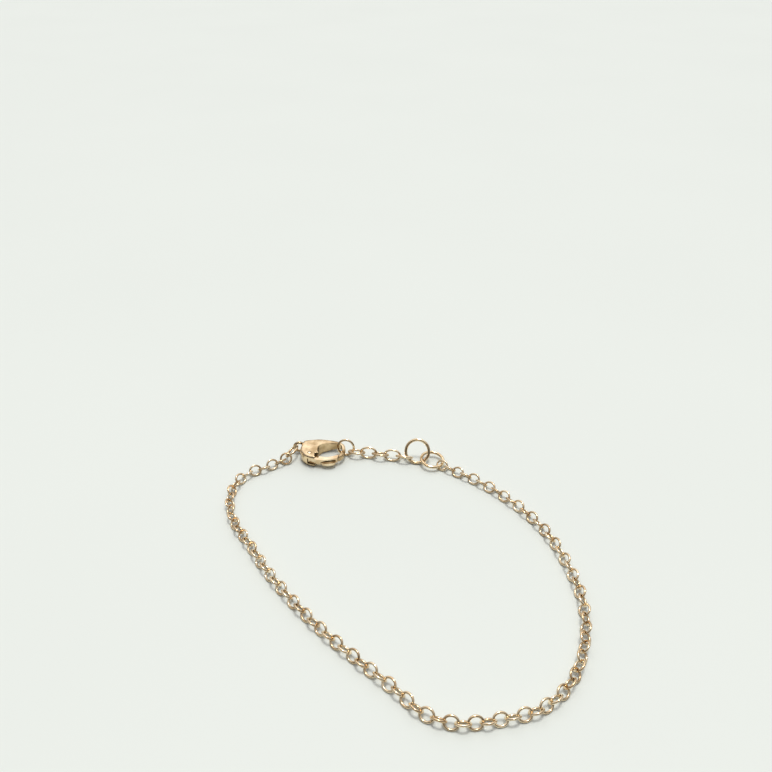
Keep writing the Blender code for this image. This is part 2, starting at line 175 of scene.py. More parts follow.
def surface_group():
    """Slow changes of tone, cloudy roughness, fine scratches and waves."""
    group, given, out = new_group(
        "gold_surface",
        [("Light", "NodeSocketColor", (0.9, 0.7, 0.42, 1.0)),
         ("Deep", "NodeSocketColor", (0.7, 0.46, 0.2, 1.0)),
         ("Polish", "NodeSocketFloat", 0.16),
         ("Scratches", "NodeSocketFloat", 0.2),
         ("Waves", "NodeSocketFloat", 0.1)],
        [("Color", "NodeSocketColor"),
         ("Roughness", "NodeSocketFloat"),
         ("Normal", "NodeSocketVector")])
    place = node(group, "ShaderNodeTexCoord", {}).outputs["Object"]
    clouds = noise(group, place, **CLOUDS)
    grain = noise(group, place, **GRAIN)
    stretched = node(group, "ShaderNodeMapping",
                     {"Vector": place, "Rotation": SCRATCH_TURN, "Scale": SCRATCH_STRETCH})
    lines = noise(group, stretched.outputs[0], **SCRATCHES)
    tone = mixed(group, ranged(group, clouds, *CLOUD_EDGES),
                 given.outputs["Deep"], given.outputs["Light"])
    change = ranged(group, grain, *GRAIN_EDGES, *POLISH_CHANGE)
    roughness = calculated(group, "ADD", change, given.outputs["Polish"])
    relief = calculated(group, "ADD", lines, grain)
    waves = node(group, "ShaderNodeBump", {
        "Strength": given.outputs["Waves"], "Distance": WAVE_DEPTH, "Height": clouds})
    scratches = node(group, "ShaderNodeBump", {
        "Strength": given.outputs["Scratches"], "Distance": SCRATCH_DEPTH, "Height": relief,
        "Normal": waves.outputs[0]})
    group.links.new(tone, out.inputs["Color"])
    group.links.new(roughness, out.inputs["Roughness"])
    group.links.new(scratches.outputs[0], out.inputs["Normal"])
    return group


SURFACE = surface_group()
print(SURFACE.name, "has", len(SURFACE.nodes), "nodes")

# %% [markdown]
# ## Painted shade and dirt where pieces nearly touch
# Where a link rubs on the next one, and where the lever enters the clasp, shade falls and skin
# oil and dust gather. Both are painted into the gold there as one dark colour. The dark could be
# painted on link by link. Ambient occlusion finds those places by itself, because it measures how
# closed in a point is, and noise breaks up the mask's edge.

# %% Crevice group
SHADE_AND_DIRT_PATCHES = {"scale": 1600.0, "detail": 3.0}
CLOSED_IN = (0.75, 0.2)
SHADE_AND_DIRT_EDGES = (0.3, 0.6)
THINNEST_SHADE_AND_DIRT = 0.5


def crevice_shade_group():
    """A mask of painted shade and dirt, where other metal nearly touches."""
    group, given, out = new_group(
        "crevice_shade_and_dirt", [("Reach", "NodeSocketFloat", 0.4 * MM)], [("Mask", "NodeSocketFloat")])
    place = node(group, "ShaderNodeTexCoord", {}).outputs["Object"]
    # Painted shade: ambient occlusion marks the closed-in places that shade falls into, which are
    # also where dirt gathers.
    shade = node(group, "ShaderNodeAmbientOcclusion", {"Distance": given.outputs["Reach"]},
                 samples=6)
    patchy = noise(group, place, **SHADE_AND_DIRT_PATCHES)
    mask = calculated(group, "MULTIPLY", ranged(group, shade.outputs["AO"], *CLOSED_IN),
                      ranged(group, patchy, *SHADE_AND_DIRT_EDGES, THINNEST_SHADE_AND_DIRT, 1.0))
    group.links.new(mask, out.inputs["Mask"])
    return group


CREVICE_SHADE = crevice_shade_group()
print(CREVICE_SHADE.name, "has", len(CREVICE_SHADE.nodes), "nodes")

# %% [markdown]
# ## Soldered seams
# A jump ring is wire bent round until its ends meet, and the seam is soldered. The seam could be
# a sliver of metal of its own, but it is too thin to be seen as one. Its colour is a narrow wavy
# band instead, read from the ring's UV map, which runs once round the ring.

# %% Seam group
SEAM_NOISE = {"scale": 30.0, "detail": 2.0}
SEAM_WAVER = 0.01


def seam_group():
    """The soldered seam of a ring, as a mask from its UV map."""
    group, given, out = new_group(
        "solder_seam",
        [("Place", "NodeSocketFloat", 0.3), ("Width", "NodeSocketFloat", 0.008)],
        [("Mask", "NodeSocketFloat")])
    uv = node(group, "ShaderNodeTexCoord", {}).outputs["UV"]
    around = node(group, "ShaderNodeSeparateXYZ", {0: uv}).outputs[0]
    waver = noise(group, uv, **SEAM_NOISE)
    wavy = calculated(group, "MULTIPLY_ADD", waver, SEAM_WAVER, around)
    away = calculated(group, "SUBTRACT", wavy, given.outputs["Place"])
    away = calculated(group, "ABSOLUTE", away)
    group.links.new(ranged(group, away, given.outputs["Width"], 0.0), out.inputs["Mask"])
    return group


SEAM = seam_group()
print(SEAM.name, "has", len(SEAM.nodes), "nodes")

# %% [markdown]
# ## One recipe for gold
# Polished gold shows almost only what it mirrors, tinted by the metal. It could be a glossy
# shader with a colour. The Principled shader with Metallic at 1 does the same and exports well.
# The shared effects feed its colour, roughness and normal. Some pieces also change tone from
# link to link, and rings get their solder.

# %% Recipe for gold
# Painted shade: the dark brown that crevices are mixed towards, standing for shade and dirt
# together.
SHADE_AND_DIRT = (0.16, 0.10, 0.045, 1.0)
SOLDER = (0.42, 0.30, 0.17, 1.0)
LINK_TONES = (0.86, 1.06)


def gold(name, light, deep, polish, scratches, reach, waves=0.1, seam_at=None,
         tone_attribute=None):
    """A gold material made from the shared effects."""
    material = bpy.data.materials.new(name)
    material.use_nodes = True
    tree = material.node_tree
    shader = tree.nodes["Principled BSDF"]
    shader.inputs["Metallic"].default_value = 1.0
    amounts = {"Light": light, "Deep": deep, "Polish": polish, "Scratches": scratches,
               "Waves": waves}
    surface = node(tree, "ShaderNodeGroup", amounts, node_tree=SURFACE)
    colour = surface.outputs["Color"]
    if tone_attribute:
        tone = node(tree, "ShaderNodeAttribute", {}, attribute_name=tone_attribute)
        bright = ranged(tree, tone.outputs["Fac"], 0.0, 1.0, *LINK_TONES)
        toned = node(tree, "ShaderNodeHueSaturation", {"Value": bright, "Color": colour})
        colour = toned.outputs[0]
    if seam_at is not None:
        seam = node(tree, "ShaderNodeGroup", {"Place": seam_at}, node_tree=SEAM)
        colour = mixed(tree, seam.outputs["Mask"], colour, SOLDER)
    # Painted shade: the colour is darkened in crevices by the shade-and-dirt mask.
    crevice_shade = node(tree, "ShaderNodeGroup", {"Reach": reach}, node_tree=CREVICE_SHADE)
    colour = mixed(tree, crevice_shade.outputs["Mask"], colour, SHADE_AND_DIRT)
    tree.links.new(colour, shader.inputs["Base Color"])
    tree.links.new(surface.outputs["Roughness"], shader.inputs["Roughness"])
    tree.links.new(surface.outputs["Normal"], shader.inputs["Normal"])
    return material


print("the recipe uses", [group.name for group in (SURFACE, CREVICE_SHADE, SEAM)])

# %% [markdown]
# ## The bracelet's golds
# Links, rings and clasp parts come from different makers, so they differ a little in tone and
# polish. One gold for all of them would look flat. Each kind of part gets its own amounts: the
# wire has more scratches, and the cast clasp is smoother but wavier.

# %% Golds of the bracelet
LIGHT_GOLD = (0.95, 0.79, 0.55, 1.0)
DEEP_GOLD = (0.70, 0.51, 0.30, 1.0)
LARGE_RING_TONE = (0.95, 0.78, 0.50, 1.0)
BODY_TONE = (0.90, 0.71, 0.45, 1.0)
DEEP_BODY_TONE = (0.48, 0.34, 0.18, 1.0)
PIN_TONE = (0.97, 0.82, 0.60, 1.0)
CASTING_WAVES = 0.5
RING_SEAM = 0.3
LARGE_RING_SEAM = 0.62

CHAIN_GOLD = gold("chain_gold_fine", LIGHT_GOLD, DEEP_GOLD, polish=0.15, scratches=0.15,
                  reach=0.25 * MM, tone_attribute="link_tone")
EXTENSION_GOLD = gold("extension_gold_fine", LIGHT_GOLD, DEEP_GOLD, polish=0.15, scratches=0.2,
                      reach=0.4 * MM, tone_attribute="link_tone")
RING_GOLD = gold("ring_gold_fine", LIGHT_GOLD, DEEP_GOLD, polish=0.13, scratches=0.2,
                 reach=0.4 * MM, seam_at=RING_SEAM)
LARGE_RING_GOLD = gold("large_ring_gold_fine", LARGE_RING_TONE, DEEP_GOLD, polish=0.12,
                       scratches=0.2, reach=0.5 * MM, seam_at=LARGE_RING_SEAM)
# The clasp's painted shade reaches 1 mm, so its pocket and the walls of its hole are painted
# darker.
BODY_GOLD = gold("clasp_body_gold_fine", BODY_TONE, DEEP_BODY_TONE, polish=0.10,
                 scratches=0.03, reach=1.0 * MM, waves=CASTING_WAVES)
LEVER_GOLD = gold("clasp_lever_gold_fine", LIGHT_GOLD, DEEP_GOLD, polish=0.10,
                  scratches=0.05, reach=0.6 * MM, waves=CASTING_WAVES)
PIN_GOLD = gold("clasp_pin_gold_fine", PIN_TONE, LIGHT_GOLD, polish=0.10, scratches=0.05,
                reach=0.3 * MM)
print("materials:", len([m for m in bpy.data.materials if m.name.endswith("_fine")]))

# %% [markdown]
# ## Holding one piece at a time
# At the bench a piece is held in a clamp while it is worked. Here an operator works on whatever
# is selected. It could be given its context by hand, but selecting the piece first is plainer
# and needs no window. At the end the place goes into the mesh, and the object stays at the
# origin, so that a pattern in the piece's own space never slides.

# %% Holding and placing
def only(*objects):
    """Select these objects and no others."""
    bpy.ops.object.select_all(action="DESELECT")
    for piece in objects:
        piece.select_set(True)
    bpy.context.view_layer.objects.active = objects[0]


def edit(piece, *steps):
    """Run edit mode steps on everything in one mesh."""
    only(piece)
    bpy.ops.object.mode_set(mode="EDIT")
    bpy.ops.mesh.select_all(action="SELECT")
    for step in steps:
        step()
    bpy.ops.object.mode_set(mode="OBJECT")


def put(piece, place):
    """Move a piece to its place, leaving its object at the origin."""
    piece.matrix_world = place
    only(piece)
    bpy.ops.object.transform_apply(location=True, rotation=True, scale=True)
    return piece


def done(piece, material, nodes, body="bracelet"):
    """Give a piece its material, its body and the solids that it stands for."""
    piece.data.materials.clear()
    piece.data.materials.append(material)
    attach(piece, body)
    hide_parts(*nodes)
    print(piece.name, "has", len(piece.data.polygons), "faces")


# %% [markdown]
# ## Where the clasp's link and the jump ring lie
# The clasp's link hangs in the clasp's eye and pulls on the jump ring. Both places could be
# measured on the solids. They are worked out from the wires instead: each wire rests on the
# next, with a small clearance, as pulled links do.

# %% Places of the clasp's link and the jump ring
EYE_POSITION = Vector((-0.301 * LOOP_WIDTH, 0.479 * LOOP_DEPTH, 0.0))
EYE_SIZE = 2.60 * MM
EYE_WIRE = 0.55 * MM
EYE_HEIGHT = 1.50 * MM
EYE_PULL = 13.0
CLASP_HEADING = 3.0
CLASP_LINK_LENGTH = 4.10 * MM
CLASP_LINK_WIDTH = 2.80 * MM
CLASP_LINK_WIRE = 0.45 * MM
CLASP_LINK_HEADING = -107.0
JUMP_RING_SIZE = 2.50 * MM
JUMP_RING_WIRE = 0.40 * MM
JUMP_RING_TILT = 45.0
JUMP_RING_PULL = 50.0

CLASP_TURN = Matrix.Rotation(math.radians(CLASP_HEADING), 4, "Z")
CLASP_PLACE = Matrix.Translation(EYE_POSITION) @ CLASP_TURN
eye_radius = (EYE_SIZE - EYE_WIRE) / 2
pull = math.radians(EYE_PULL)
on_eye = CLASP_PLACE @ Vector(
    (-eye_radius * math.cos(pull), 0.0, EYE_HEIGHT - eye_radius * math.sin(pull)))
tilt = math.radians(JUMP_RING_TILT)
ring_radius = (JUMP_RING_SIZE - JUMP_RING_WIRE) / 2
ring_height = ring_radius * math.sin(tilt) + JUMP_RING_WIRE / 2
ring_pull = math.radians(JUMP_RING_PULL)
outwards = Vector((math.cos(ring_pull), math.sin(ring_pull) * math.cos(tilt),
                   math.sin(ring_pull) * math.sin(tilt)))
eye_hook = (EYE_WIRE + CLASP_LINK_WIRE) / 2 + CLEARANCE
ring_hook = (JUMP_RING_WIRE + CLASP_LINK_WIRE) / 2 + CLEARANCE
half_length = (CLASP_LINK_LENGTH - CLASP_LINK_WIRE) / 2
reach = 2 * half_length - eye_hook - ring_hook
rise = (ring_height + ring_radius * outwards.z - on_eye.z) / reach
along = heading(CLASP_LINK_HEADING) * math.sqrt(1 - rise * rise) + UP * rise
link_centre = on_eye + along * (half_length - eye_hook)
ring_centre = on_eye + along * reach - outwards * ring_radius
print("the clasp's link drops", round(-reach * rise / MM, 2), "mm from the eye to the ring")

# %% [markdown]
# ## Clasp's link
# An oval link is round wire bent over a mandrel and soldered shut. A torus stretched sideways
# could stand for it, but stretching flattens the wire as well. So a round curve is stretched to
# the oval first, and then gets its round thickness. Converting it leaves one closed mesh.

# %% Clasp's link
CLASP_LINK_NORMAL = Vector((-0.56, 0.25, 0.79))
CLASP_LINK_STEPS = (64, 18)
CLASP_LINK_TONE = 0.4
MERGE_DISTANCE = 1e-7


def wire_loop(name, length, width, wire, around, across):
    """A closed oval of round wire, lying flat, its length along x."""
    bpy.ops.object.select_all(action="DESELECT")
    bpy.ops.curve.primitive_bezier_circle_add(radius=1.0, location=(0, 0, 0))
    loop = bpy.context.object
    loop.name = name
    loop.scale = ((length - wire) / 2, (width - wire) / 2, 1.0)
    bpy.ops.object.transform_apply(location=False, rotation=False, scale=True)
    loop.data.resolution_u = around // 4
    loop.data.bevel_depth = wire / 2
    loop.data.bevel_resolution = (across - 4) // 2
    loop.data.use_fill_caps = False
    # Applying the scale also scales each point's own thickness, which has to be 1 again.
    for point in loop.data.splines[0].bezier_points:
        point.radius = 1.0
    bpy.ops.object.convert(target="MESH")
    loop = bpy.context.object
    edit(loop, lambda: bpy.ops.mesh.remove_doubles(threshold=MERGE_DISTANCE),
         lambda: bpy.ops.mesh.normals_make_consistent(inside=False))
    bpy.ops.object.shade_smooth()
    return loop


def set_tone(piece, tone):
    """Give every point of a link the same tone."""
    values = piece.data.attributes.new("link_tone", "FLOAT", "POINT")
    values.data.foreach_set("value", [tone] * len(piece.data.vertices))


clasp_link = wire_loop("clasp_link_fine", CLASP_LINK_LENGTH, CLASP_LINK_WIDTH, CLASP_LINK_WIRE,
                       *CLASP_LINK_STEPS)
set_tone(clasp_link, CLASP_LINK_TONE)
put(clasp_link, placed(link_centre, along, CLASP_LINK_NORMAL))
done(clasp_link, EXTENSION_GOLD, ["clasp_link"])

# %% [markdown]
# ## Jump ring
# A jump ring is one turn of wire, sawn off a coil and soldered where its ends meet. It could be
# made from a curve, as the links are. A torus is used, because it comes with a UV map that runs
# round the ring, where the seam's colour can find its place. The wire swells a little there.

# %% Jump ring
CHAIN_PLAY = 0.36 * MM
RING_STEPS = (64, 20)
SOLDER_REACH = 0.6
SOLDER_SWELL = (1.05, 1.05, 1.05)


def solder(ring, middle, wire):
    """Swell the wire a little round the place where its ends are soldered."""
    only(ring)
    bpy.ops.object.mode_set(mode="EDIT")
    bpy.ops.mesh.select_mode(type="VERT")
    bpy.ops.mesh.select_all(action="DESELECT")
    bpy.ops.object.mode_set(mode="OBJECT")
    for vertex in ring.data.vertices:
        vertex.select = (vertex.co - middle).length < SOLDER_REACH * wire
    bpy.ops.object.mode_set(mode="EDIT")
    bpy.ops.transform.resize(value=SOLDER_SWELL, center_override=middle)
    bpy.ops.object.mode_set(mode="OBJECT")


def wire_ring(name, size, wire, steps, seam_at=None):
    """A ring of round wire, lying flat. Its UV map runs once round it, from -x."""
    bpy.ops.object.select_all(action="DESELECT")
    bpy.ops.mesh.primitive_torus_add(
        major_segments=steps[0], minor_segments=steps[1],
        major_radius=(size - wire) / 2, minor_radius=wire / 2, generate_uvs=True)
    ring = bpy.context.object
    ring.name = name
    if seam_at is not None:
        solder(ring, heading(360.0 * (seam_at - 0.5)) * (size - wire) / 2, wire)
    only(ring)
    bpy.ops.object.shade_smooth()
    return ring


jump_ring = wire_ring("jump_ring_fine", JUMP_RING_SIZE, JUMP_RING_WIRE, RING_STEPS, RING_SEAM)
ring_normal = Vector((0.0, -math.sin(tilt), math.cos(tilt)))
put(jump_ring, placed(ring_centre, RIGHT, ring_normal))
done(jump_ring, RING_GOLD, ["jump_ring"])
chain_start = (ring_centre - outwards * (ring_radius - JUMP_RING_WIRE / 2 - CHAIN_PLAY)).xy

# %% [markdown]
# ## Outlines of the clasp
# A lobster clasp is cast from a carved model, flat on both sides, with a hole that the claw
# closes round. Its outline could be sculpted by eye. It is a smooth curve through a few points
# instead, each a share of the clasp's length and width from its eye, so that the whole outline
# grows and shrinks with the clasp.

# %% Outlines of the clasp
CLASP_LENGTH = 9.30 * MM
CLASP_WIDTH = 6.20 * MM
OUTLINE_STEPS = 6
BODY_OUTLINE = (
    (0.11, 0.12), (0.29, 0.165), (0.52, 0.18), (0.74, 0.155), (0.91, 0.085), (0.985, -0.05),
    (1.00, -0.32), (0.945, -0.57), (0.81, -0.72), (0.62, -0.79), (0.42, -0.79),
    (0.235, -0.72), (0.10, -0.57), (0.035, -0.35), (0.05, -0.10),
)
HOLE_OUTLINE = (
    (0.49, -0.10), (0.665, -0.015), (0.83, -0.01), (0.915, -0.075), (0.922, -0.40),
    (0.83, -0.585), (0.655, -0.615), (0.49, -0.60), (0.41, -0.485), (0.41, -0.265),
)
MOUTH_OUTLINE = ((0.34, -0.53), (0.88, -0.53), (0.81, -0.86), (0.34, -0.86))


def smooth_points(points, steps, closed=False):
    """Points on a smooth curve through the given ones."""
    count = len(points)
    if closed:
        ring = [points[-1], *points, points[0], points[1]]
    else:
        ring = [2 * points[0] - points[1], *points, 2 * points[-1] - points[-2]]
    curve = []
    for i in range(count if closed else count - 1):
        p0, p1, p2, p3 = ring[i:i + 4]
        t1 = (p1 - p0).length ** 0.5
        t2 = t1 + (p2 - p1).length ** 0.5
        t3 = t2 + (p3 - p2).length ** 0.5
        for step in range(steps):
            t = t1 + (t2 - t1) * step / steps
            a1 = p0.lerp(p1, t / t1)
            a2 = p1.lerp(p2, (t - t1) / (t2 - t1))
            a3 = p2.lerp(p3, (t - t2) / (t3 - t2))
            b1 = a1.lerp(a2, t / t2)
            b2 = a2.lerp(a3, (t - t1) / (t3 - t1))
            curve.append(b1.lerp(b2, (t - t1) / (t2 - t1)))
    if not closed:
        curve.append(points[-1].copy())
    return curve


def on_clasp(share_x, share_y):
    """A point of the clasp's outlines, measured from its eye."""
    return Vector((share_x * CLASP_LENGTH, share_y * CLASP_WIDTH, 0.0))


def clasp_curve(outline, origin, closed=False):
    """A smooth curve through an outline's points, seen from an origin on the clasp."""
    return smooth_points([on_clasp(*point) - origin for point in outline], OUTLINE_STEPS, closed)


EYE = on_clasp(0.0, 0.0)
body_curve = clasp_curve(BODY_OUTLINE, EYE, closed=True)
hole_curve = clasp_curve(HOLE_OUTLINE, EYE, closed=True)
print("points round the body and its hole:", len(body_curve), len(hole_curve))

# %% [markdown]
# ## Plates and cuts
# The carved model of a clasp starts as a flat plate that is sawn out and drilled. It could be
# modelled as a box that is subdivided and pushed into shape, but its holes would then come out
# too soft and too small. Plates cut with exact booleans keep every hole as large as the solid's.

# %% Plates and cuts
PLATE_START_RADIUS = 10.0 * MM


def apply_modifier(piece, name):
    """Apply one modifier."""
    only(piece)
    bpy.ops.object.modifier_apply(modifier=name)


def plate(name, outline, bottom, top):
    """A closed plate with the given outline, between two heights."""
    bpy.ops.object.select_all(action="DESELECT")
    bpy.ops.mesh.primitive_circle_add(
        vertices=len(outline), radius=PLATE_START_RADIUS, fill_type="NGON")
    piece = bpy.context.object
    piece.name = name
    for vertex, point in zip(piece.data.vertices, outline):
        vertex.co = (point.x, point.y, bottom)
    thickness = (0.0, 0.0, top - bottom)
    edit(piece, lambda: bpy.ops.mesh.extrude_region_move(
        TRANSFORM_OT_translate={"value": thickness}),
        lambda: bpy.ops.mesh.select_all(action="SELECT"),
        lambda: bpy.ops.mesh.normals_make_consistent(inside=False))
    return piece


def disc(name, radius, bottom, top, sides=40):
    """An upright cylinder round the z axis."""
    rim = [heading(360.0 * i / sides) * radius for i in range(sides)]
    return plate(name, rim, bottom, top)


def combine(piece, other, operation):
    """Join a piece with another shape, or cut the shape out of it, and drop the shape."""
    modifier = piece.modifiers.new(operation, "BOOLEAN")
    modifier.operation = operation
    modifier.solver = "EXACT"
    modifier.object = other
    apply_modifier(piece, modifier.name)
    bpy.data.objects.remove(other)


print("a plate starts as a circle of", round(PLATE_START_RADIUS / MM), "mm radius")

# %% [markdown]
# ## Rounded edges and smooth faces
# Filing and polishing take the edge off everything. The roundings could be left to the shading
# alone, but then no edge would catch the light. A bevel rounds what is sharper than an angle, and
# weighted normals keep the flat faces looking flat beside it.

# %% Rounded edges and smooth faces
ROUNDED_ANGLE = 40.0
SMOOTH_ANGLE = 32.0


def rounding(piece, width, segments):
    """Round the sharp edges of a piece."""
    modifier = piece.modifiers.new("rounding", "BEVEL")
    modifier.width = width
    modifier.segments = segments
    modifier.limit_method = "ANGLE"
    modifier.angle_limit = math.radians(ROUNDED_ANGLE)
    modifier.harden_normals = False
    apply_modifier(piece, modifier.name)


def smooth_solid(piece):
    """Shade a cut solid smoothly, with its flat faces kept flat."""
    only(piece)
    bpy.ops.object.shade_smooth_by_angle(angle=math.radians(SMOOTH_ANGLE))
    modifier = piece.modifiers.new("flat faces", "WEIGHTED_NORMAL")
    modifier.keep_sharp = True
    apply_modifier(piece, modifier.name)


print("edges sharper than", ROUNDED_ANGLE, "degrees are rounded")

# %% [markdown]
# ## Clasp body: the blank
# The body is one casting: a thick head that holds the lever, and a back that thins towards the
# claw. The claw could be a bent wire of its own, but in a casting nothing is joined there. One
# plate is rounded all round, thinned towards the claw, and then gets its hole and its mouth,
# whose edges are crisper than the outer ones.

# %% Clasp body: the blank
CLASP_THICKNESS = 2.60 * MM
CLAW_TIP_THICKNESS = 1.00 * MM
TAPER_START = 0.43
MIDDLE = CLASP_THICKNESS / 2
ABOVE = 2 * CLASP_THICKNESS
BELOW = -CLASP_THICKNESS
OUTER_ROUNDING = 0.50 * MM
HOLE_ROUNDING = 0.12 * MM
BISECT_THRESHOLD = 1e-8


def taper_claw(piece):
    """Thin the claw towards its tip, evenly above and below."""
    start = TAPER_START * CLASP_LENGTH
    edit(piece, lambda: bpy.ops.mesh.bisect(
        plane_co=(start, 0.0, 0.0), plane_no=RIGHT, threshold=BISECT_THRESHOLD))
    for vertex in piece.data.vertices:
        share = max(0.0, (vertex.co.x - start) / (CLASP_LENGTH - start))
        thickness = CLASP_THICKNESS + share * (CLAW_TIP_THICKNESS - CLASP_THICKNESS)
        vertex.co.z = MIDDLE + (vertex.co.z - MIDDLE) * thickness / CLASP_THICKNESS


body = plate("clasp_body_fine", body_curve, 0.0, CLASP_THICKNESS)
rounding(body, OUTER_ROUNDING, segments=6)
taper_claw(body)
combine(body, plate("hole", hole_curve, BELOW, ABOVE), "DIFFERENCE")
mouth = [on_clasp(*point) for point in MOUTH_OUTLINE]
combine(body, plate("mouth", mouth, BELOW, ABOVE), "DIFFERENCE")
rounding(body, HOLE_ROUNDING, segments=3)
print("the blank has", len(body.data.polygons), "faces")

# %% [markdown]
# ## Clasp body: eye, slot and bore
# The eye is a ring cast on the head, and it stands upright so that the clasp lies flat. The
# lever sits in a slot that is sawn into the head, and its pin goes through a drilled bore. All
# three could be modelled into the blank face by face. Adding a ring and cutting a pocket and a
# cylinder is shorter, and leaves the same clean edges as a saw and a drill.

# %% Clasp body: eye, slot and bore
PIN_RADIUS = 0.35 * MM
PIN_PLACE = (0.233, -0.517)
SLOT_END = (0.46, -0.90)
HEEL_SIDE = range(90, 241, 10)
LEVER_THICKNESS = 1.20 * MM
LEVER_HEEL_RADIUS = 0.85 * MM

eye = wire_ring("eye", EYE_SIZE, EYE_WIRE, RING_STEPS)
put(eye, placed(Vector((0.0, 0.0, EYE_HEIGHT)), RIGHT, Vector((0.0, -1.0, 0.0))))
combine(body, eye, "UNION")

pin = on_clasp(*PIN_PLACE)
slot_end = on_clasp(*SLOT_END)
half_slot = LEVER_THICKNESS / 2 + CLEARANCE
radius = LEVER_HEEL_RADIUS + CLEARANCE
pocket = [pin + heading(angle) * radius for angle in HEEL_SIDE]
pocket += [Vector((pin.x - radius / 2, slot_end.y, 0.0)), slot_end,
           Vector((slot_end.x, pin.y + radius, 0.0))]
combine(body, plate("pocket", pocket, MIDDLE - half_slot, MIDDLE + half_slot), "DIFFERENCE")
bore = disc("bore", PIN_RADIUS + CLEARANCE / 2, BELOW, ABOVE)
combine(body, put(bore, Matrix.Translation(pin)), "DIFFERENCE")
smooth_solid(body)
put(body, CLASP_PLACE)
done(body, BODY_GOLD, ["clasp_body"])

# %% [markdown]
# ## Clasp lever
# The lever closes the claw. Its round heel turns on the pin, and a thin tab for the thumb sticks
# out of its side. It could be one flat outline, but the tab is thinner than the arm. So arm,
# heel and tab are three plates joined into one, rounded together, and bored last, so that the
# bore stays round.

# %% Clasp lever
ARM_OUTER = ((0.24, -0.655), (0.42, -0.765), (0.62, -0.765), (0.77, -0.725), (0.828, -0.70))
ARM_INNER = ((0.86, -0.545), (0.66, -0.63), (0.50, -0.62), (0.41, -0.56), (0.34, -0.44),
             (0.25, -0.38))
TAB_OUTLINE = ((0.44, -0.74), (0.52, -0.84), (0.65, -0.875), (0.76, -0.83), (0.80, -0.74))
TAB_THICKNESS = 0.50 * MM
LEVER_ROUNDING = 0.14 * MM

low_face = MIDDLE - LEVER_THICKNESS / 2
high_face = MIDDLE + LEVER_THICKNESS / 2
arm = clasp_curve(ARM_OUTER, pin) + clasp_curve(ARM_INNER, pin)
lever = plate("clasp_lever_fine", arm, low_face, high_face)
combine(lever, disc("heel", LEVER_HEEL_RADIUS, low_face, high_face), "UNION")
tab_bottom = low_face + CLEARANCE
tab = plate("tab", clasp_curve(TAB_OUTLINE, pin), tab_bottom, tab_bottom + TAB_THICKNESS)
combine(lever, tab, "UNION")
rounding(lever, LEVER_ROUNDING, segments=3)
lever_bore = disc("lever_bore", PIN_RADIUS + CLEARANCE, low_face - MIDDLE, high_face + MIDDLE)
combine(lever, lever_bore, "DIFFERENCE")
smooth_solid(lever)
put(lever, CLASP_PLACE @ Matrix.Translation(pin))
done(lever, LEVER_GOLD, ["clasp_lever"], "lever")

# %% [markdown]
# ## Clasp pin
# The pin that the lever turns on is a rivet, hammered flush and polished with the body. Its ends
# could be domed, but no heads stand out on a small clasp. A short cylinder with rounded rims
# shows as a fine bright ring in the face of the head, as a rivet does.

# %% Clasp pin
RIVET_ROUNDING = 0.10 * MM

rivet = disc("clasp_pin_fine", PIN_RADIUS, 0.0, CLASP_THICKNESS)
rounding(rivet, RIVET_ROUNDING, segments=4)
smooth_solid(rivet)
put(rivet, CLASP_PLACE @ Matrix.Translation(pin))
done(rivet, PIN_GOLD, ["clasp_pin"])

# %% [markdown]
# ## Ring in the claw
# The clasp grips a small round ring, the last of the extension chain. It could lie flat, but the
# claw holds it up, so it stands on its rim and leans back a little. Two helpers find the point of
# its wire at a given height, for the link that hangs there.

# %% Ring in the claw
END_RING_PLACE = (1.012, -0.175)
END_RING_SIZE = 3.70 * MM
END_RING_WIRE = 0.45 * MM
END_RING_LEAN = 15.0
END_RING_HEADING = -6.0


def up_ring(along, lean):
    """The direction up the plane of a ring that leans back."""
    return UP.cross(along) * math.sin(lean) + UP * math.cos(lean)


def to_ring_wire(along, lean, radius, height):
    """The way from a leaning ring's centre to its wire on the right, at a height from it."""
    rise = height / math.cos(lean)
    return up_ring(along, lean) * rise + along * math.sqrt(radius ** 2 - rise ** 2)


ring_along = heading(END_RING_HEADING)
end_lean = math.radians(END_RING_LEAN)
end_radius = (END_RING_SIZE - END_RING_WIRE) / 2
end_centre = CLASP_PLACE @ on_clasp(*END_RING_PLACE)
end_centre.z = end_radius * math.cos(end_lean) + END_RING_WIRE / 2
end_ring = wire_ring("extension_end_ring_fine", END_RING_SIZE, END_RING_WIRE, RING_STEPS, RING_SEAM)
put(end_ring, placed(end_centre, ring_along, rolled(ring_along, 90.0 - END_RING_LEAN)))
done(end_ring, RING_GOLD, ["extension_end_ring"])

# %% [markdown]
# ## Extension chain
# Five oval links lead from the ring in the claw to the larger rings. Every other link is turned,
# as in any cable chain. They could be copied along a curve, but then each would sit alike. One
# link is modelled and copied, and each copy gets its own heading, roll and tone.

# %% Extension chain
EXTENSION_WIRE = 0.45 * MM
EXTENSION_LINK_LENGTH = 3.62 * MM
EXTENSION_LINK_WIDTH = 2.50 * MM
EXTENSION_LINK_STEPS = (56, 16)
EXTENSION_PLAY = 0.30 * MM
EXTENSION_HEIGHT = 1.05 * MM
EXTENSION_LINKS = (
    (-9.0, -20.0), (-7.0, 60.0), (-10.0, -28.0), (-8.0, 55.0), (-11.0, -36.0),
)
RING_PLAY = 0.34 * MM
TONE_STEP = 0.37

